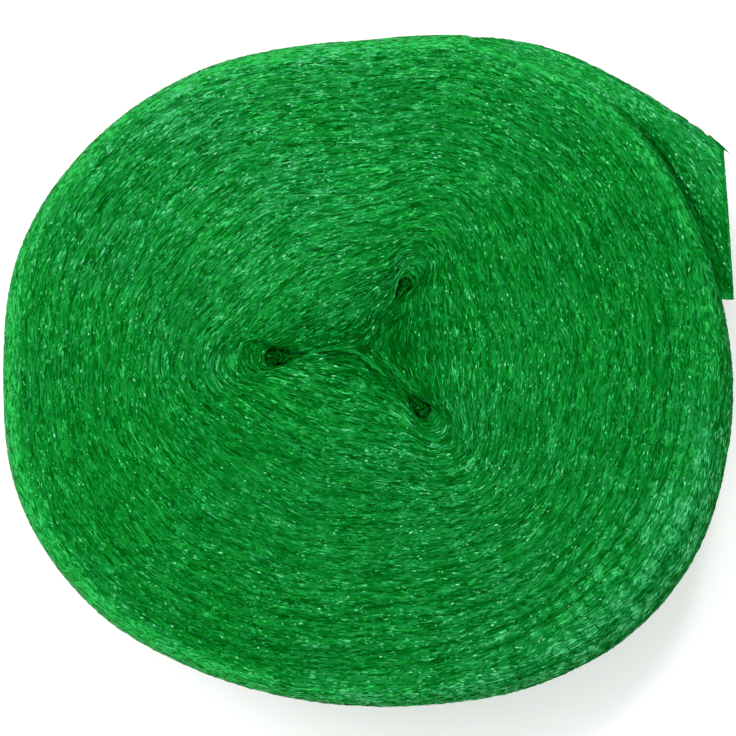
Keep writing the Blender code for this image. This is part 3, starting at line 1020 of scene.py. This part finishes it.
def pleated_section(share, width):
    """Outline of the back-and-forth section, as (across, height) points from out to in."""
    thick, pitch = pleats_at(share, width)
    near, far = [(0.0, 0.0)], [(thick, 0.0)]
    for k in range(PLEATS - 1):
        left, right = k * pitch, (k + 1) * pitch + thick
        if k % 2 == 0:
            wave = PLEAT_WAVE * float(drift(share * 5.0 + 3 * k, 0.5 + k))
            crest = float(crown_height(share, (left + right) / 2 / width, width))
            crest += 4 * wave * share * (1 - share) - CROWN_COVER
            lines = fold_arc(left, right, crest, thick)
        else:
            lines = flat_fold(left, right, thick)[::-1]
        near += lines[0]
        far += lines[1]
    near.append(((PLEATS - 1) * pitch + thick, 0.0))
    far.append(((PLEATS - 1) * pitch, 0.0))
    return near + far[::-1]


def build_loose_sheet():
    """The band's layers as one sheet, pleated back and forth."""
    rings = []
    for share in np.linspace(0, 1, LOOSE_STATIONS):
        width = float(loose_sides(np.array(share))[2])
        across, height = np.array(pleated_section(share, width)).T
        rings.append(loose_point(share, across / width, height))
    rings = np.array(rings)
    stations, count, _ = rings.shape
    sides = grid_faces(stations, count, False)[:, ::-1]
    ends = [np.arange(count)[None, ::-1], (stations - 1) * count + np.arange(count)[None, :]]
    faces = [sides, *ends]
    # a darker tone than the strands over it, painted shade between them
    tones = [np.full(len(part), SHADE) for part in faces]
    return mesh_piece("loose_sheet", rings.reshape(-1, 3), faces, tones)


def loose_crown(across, share):
    """The surface over the tops of the pleats."""
    return loose_point(share, across, crown_height(share, across, loose_sides(share)[2]))


def loose_outside(up, share):
    """The loose end's outer face, up its height."""
    return loose_point(share, 0.0 * up, up * crown_height(share, 0.0, loose_sides(share)[2]))


def loose_leaf(leaf, through, up, share):
    """Points of the pleats' leaves by number; through is a share of their thickness."""
    span = loose_sides(share)[2]
    thick, pitch = pleats_at(share, span)
    place = (leaf * pitch + through * thick) / span
    return loose_point(share, place, up * loose_top(share, place))


def opening(share):
    """How far the crevice has opened at shares of the loose end's length."""
    return ease((share - BRIDGE[0]) / (BRIDGE[1] - BRIDGE[0]))


def loose_bridge(inwards, share):
    """The surface of the strands over the crevice, inwards to the roll."""
    near = loose_crown(np.ones(np.shape(share)), share)
    far_angle = loose_angle(CLEARANCE[-1][0] + BRIDGE_TURN, share) + 360
    far = skin(1.2 + 0.35 * opening(share), far_angle)
    sag = BRIDGE_SAG * opening(share) * 4 * inwards * (1 - inwards)
    return between(near, far, np.asarray(inwards)[..., None]) - sag[..., None] * UP


def crown_strands():
    """Strands over the tops of the pleats: painted shade towards the open crevice, painted light on
    the outer edge and on higher strands, and painted glints on a tenth of them.
    """
    kind = SETS["loose_crown_strands"]
    across, share = rng.uniform(0.01, 1.0, kind.count), rng.uniform(0, 1, kind.count) ** 0.7
    length = drawn(kind.length, kind.count)
    share = 0.5 * length / LOOSE_LENGTH - 0.03 + share * (1.025 - length / LOOSE_LENGTH)
    lift = drawn(kind.lift, kind.count)
    shades = 0.15 * (1 - ease(across / 0.35)) - 0.34 * ease((across - 0.30) / 0.45)
    bright = 0.52 + 0.07 * drift(across * 8, share * 12) + 0.08 * drift(across * 22, share * 3)
    bright += 0.05 * lift / MM + 0.13 * (1 - opening(share)) + shades * opening(share)
    bright += 0.3 * (rng.random(kind.count) < 0.10)
    tilt = turned(kind, kind.count)
    tone = pick_tone(bright, 0.15 + 0.45 * share)
    return strands_on(kind, loose_crown, across, share, length, lift, tilt, tone)


def loose_glints():
    """Short bright strands over the tops of the pleats: painted glints, a few of them in the pale
    spark tone.
    """
    kind = SETS["loose_glints"]
    across, share = rng.uniform(0.03, 0.97, kind.count), rng.uniform(0.12, 0.98, kind.count)
    kept = drift(across * 9, share * 22) > -0.1
    across, share = across[kept], share[kept]
    size = sized(kind, len(share))
    tone = pick_tone(0.82 - 0.16 * across, 0.75)
    tone[rng.random(len(share)) < 0.07] = SPARK
    return strands_on(kind, loose_crown, across, share, *size, tone)


def hem(name, surface, margin):
    """Strands along the cut's upper edge; margin is the share left free at each side."""
    kind = SETS[name]
    across = rng.uniform(margin, 1 - margin, kind.count)
    share = 0.996 - rng.random(kind.count) ** 2 * 0.02
    length, lift, tilt = sized(kind, kind.count)
    lift, tilt = lift * (1.1 - across), math.pi / 2 + tilt
    tone = pick_tone(0.60 - 0.26 * across, 0.5)
    return strands_on(kind, surface, across, share, length, lift, tilt, tone)


def stray_thread():
    """A thread along the outer edge that sticks out past the cut."""
    lying = loose_crown(np.full(3, 0.012), STRAY_SHARES)
    past = lying[-1] + unit(lying[-1] - lying[-2]) * STRAY_REACH
    path = np.vstack([lying, past])[None]
    return blades("loose_stray_thread", path, UP, np.array([STRAY_WIDTH]), np.array([DEEP]))


def bridge_strands():
    """Strands over the narrow part of the crevice, sagging where it opens, and darker there as painted
    shade of the crevice.
    """
    kind = SETS["loose_bridge_strands"]
    length, inwards = drawn(kind.length, kind.count), rng.random(kind.count)
    share = rng.uniform(0.0, 0.997, kind.count) - 0.5 * length / LOOSE_LENGTH
    lift = drawn(kind.lift, kind.count)
    bright = 0.66 - opening(share) * (0.24 + 0.22 * ease(inwards / 0.5))
    bright += 0.06 * drift(inwards * 3, share * 14)
    tilt = turned(kind, kind.count)
    tone = pick_tone(bright, 0.2)
    return strands_on(kind, loose_bridge, inwards, share, length, lift, tilt, tone)


def side_strands():
    """Closed diamonds of netting over the loose end's outer face."""
    edges = np.linspace(-0.022, 0.998, round(LOOSE_LENGTH / BAR_LENGTH) + 1)
    heights = [loose_outside(1.0, edge)[2] for edge in edges]
    start, end = diamond_rows(
        edges, heights, lambda row, down: 1 - np.minimum(down / heights[row], 0.99)
    )
    count = start.shape[1]
    up, share = (start + end) / 2
    bulge = drawn((0.05, 0.25), count) + 0.2 * MM * (1 - ease(share / 0.1))
    paths, outwards = diamond_paths(loose_outside, start, end, bulge, rng.normal(0, 0.003, count))
    # strands that stand proud are lighter: painted light
    bright = 0.50 + wall_light(share * LOOSE_LENGTH, up * ROLL_HEIGHT) + 0.17 * (bulge / MM - 0.15)
    tone = pick_tone(bright, 0.35 + 0.30 * drift(share * 4, up * 6))
    return blades("loose_side_strands", paths, outwards, drawn(WALL_WIDTH, count), tone)


def cut_strands():
    """Strands on both sides of the leaves near the cut."""
    kind = SETS["loose_cut_strands"]
    leaf = rng.integers(0, PLEATS, kind.count)
    through = 0.5 + 1.25 * rng.uniform(-0.5, 0.5, kind.count)
    up, length = rng.uniform(0.02, 0.985, kind.count), drawn(kind.length, kind.count)
    share = 0.995 - rng.random(kind.count) ** 2 * 0.35 - 0.5 * length / LOOSE_LENGTH
    lift, tilt = drawn(kind.lift, kind.count), turned(kind, kind.count)
    tone = pick_tone(0.44 + 0.09 * drift(up * 12, leaf * 3.3), 0.4)
    sides = lambda up, share: loose_leaf(leaf, through, up, share)
    return strands_on(kind, sides, up, share, length, lift, tilt, tone)


def leaf_ends():
    """Strands up the leaves' cut ends."""
    kind = SETS["loose_leaf_ends"]
    leaf, up = rng.integers(0, PLEATS, kind.count), rng.uniform(0.03, 0.97, kind.count)
    length, lift, tilt = sized(kind, kind.count)
    tone = pick_tone(0.56 + 0.12 * drift(up * 14, leaf * 3.3), 0.4)
    through, tilt = rng.random(kind.count), math.pi / 2 + tilt
    ends = lambda up, through: loose_leaf(leaf, through, up, np.ones(len(up)))
    return strands_on(kind, ends, up, through, length, lift, tilt, tone)


# ---- stage, lights and camera ----

CAMERA_TARGET = Vector((0.0006, 0.0008, 0.1))
CAMERA_DISTANCE = 1.1
CAMERA_HEIGHT = 82.0  # degrees above the horizon
CAMERA_TOWARDS = -45.0  # plan direction in degrees
CAMERA_LENS = 130.28
LIGHTS = [  # name, plan direction, height above the horizon, distance, size, power
    ("key", 125, 64, 1.4, 1.4, 14.5),
    ("fill", -60, 58, 1.5, 1.4, 13),
    ("crisp", 60, 72, 1.4, 0.12, 2.8),
    ("low", 150, 22, 1.5, 0.9, 4),
]
SKY = 0.52
FLOOR_REACH = 6.0
FLOOR_PAINT = ((0.96, 0.96, 0.96), 0.9, 0.5)  # colour, roughness, gloss


def direction(towards, height):
    """A unit vector in a plan direction, at a height above the horizon, in degrees."""
    rise = math.radians(height)
    return Vector((*(heading(towards) * math.cos(rise)), math.sin(rise)))


def build_camera():
    back = direction(CAMERA_TOWARDS, CAMERA_HEIGHT)
    right = Vector((0, 1, 0)).cross(back).normalized()
    up = back.cross(right)
    data = bpy.data.cameras.new("camera")
    data.lens = CAMERA_LENS
    camera = linked("camera", data)
    aim = Matrix((right, up, back)).transposed().to_4x4()
    camera.matrix_world = Matrix.Translation(CAMERA_TARGET + back * CAMERA_DISTANCE) @ aim
    bpy.context.scene.camera = camera


def build_lights():
    world = bpy.data.worlds.new("studio")
    world.use_nodes = True
    background = world.node_tree.nodes["Background"].inputs
    background["Color"].default_value = (1, 1, 1, 1)
    background["Strength"].default_value = SKY
    bpy.context.scene.world = world
    for name, towards, height, distance, size, power in LIGHTS:
        data = bpy.data.lights.new(name, "AREA")
        data.shape = "DISK"
        data.size = size
        data.energy = power
        light = linked(name, data)
        away = direction(towards, height)
        light.location = away * distance
        light.rotation_mode = "QUATERNION"
        light.rotation_quaternion = away.to_track_quat("Z", "Y")


def build_floor():
    mesh = bpy.data.meshes.new("floor")
    plan = ((-1, -1), (1, -1), (1, 1), (-1, 1))
    corners = [(x * FLOOR_REACH, y * FLOOR_REACH, 0) for x, y in plan]
    mesh.from_pydata(corners, [], [(0, 1, 2, 3)])
    mesh.materials.append(new_material("floor", *FLOOR_PAINT))
    linked("floor", mesh)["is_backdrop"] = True


# ---- the scene ----

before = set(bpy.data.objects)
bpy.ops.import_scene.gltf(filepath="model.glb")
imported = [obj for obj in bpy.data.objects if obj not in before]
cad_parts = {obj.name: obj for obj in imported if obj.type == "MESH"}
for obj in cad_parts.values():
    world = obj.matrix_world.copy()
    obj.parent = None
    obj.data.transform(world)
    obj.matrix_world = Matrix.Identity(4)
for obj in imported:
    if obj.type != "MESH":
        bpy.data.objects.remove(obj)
cad_box = [list(corner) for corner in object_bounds()]
MATERIALS = [new_material("netting_" + row[0], row[1:4], *row[4:]) for row in TONES]
build_camera()
build_lights()
build_floor()
bpy.context.scene.view_settings.view_transform = "Standard"

body = build_body()
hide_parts("wound_roll")
for part in ("a", "b", "c"):
    face_strands(SETS["face_strands"]._replace(name="face_strands_" + part))
face_glints()
gap_threads()
face_strands(SETS["face_threads"])
face_strands(SETS["core_threads"], CORE_REACH, CORE_SCATTER)
eye_threads()
crack_threads()
routed_threads("crease_threads", CREASES, (4, 9), (0.30, 0.62), [GAP, GAP, DIM, DEEP])
light = [SHADE, MIDDLE, MIDDLE, FRESH, LEVELS + FRESH]
routed_threads("bundle_threads", BUNDLES, (5, 13), (0.30, 0.50), light)
core_lines()
row_joints()
base_strands()
wall_strands(("wall_strands_a", "wall_strands_b"))

loose_sheet = build_loose_sheet()
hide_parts("loose_end")
crown_strands()
loose_glints()
hem("loose_cut_edge", loose_crown, 0.03)
hem("loose_corner_edge", loose_bridge, 0.06)
stray_thread()
bridge_strands()
side_strands()
cut_strands()
leaf_ends()

visual_box = [list(corner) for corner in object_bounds()]
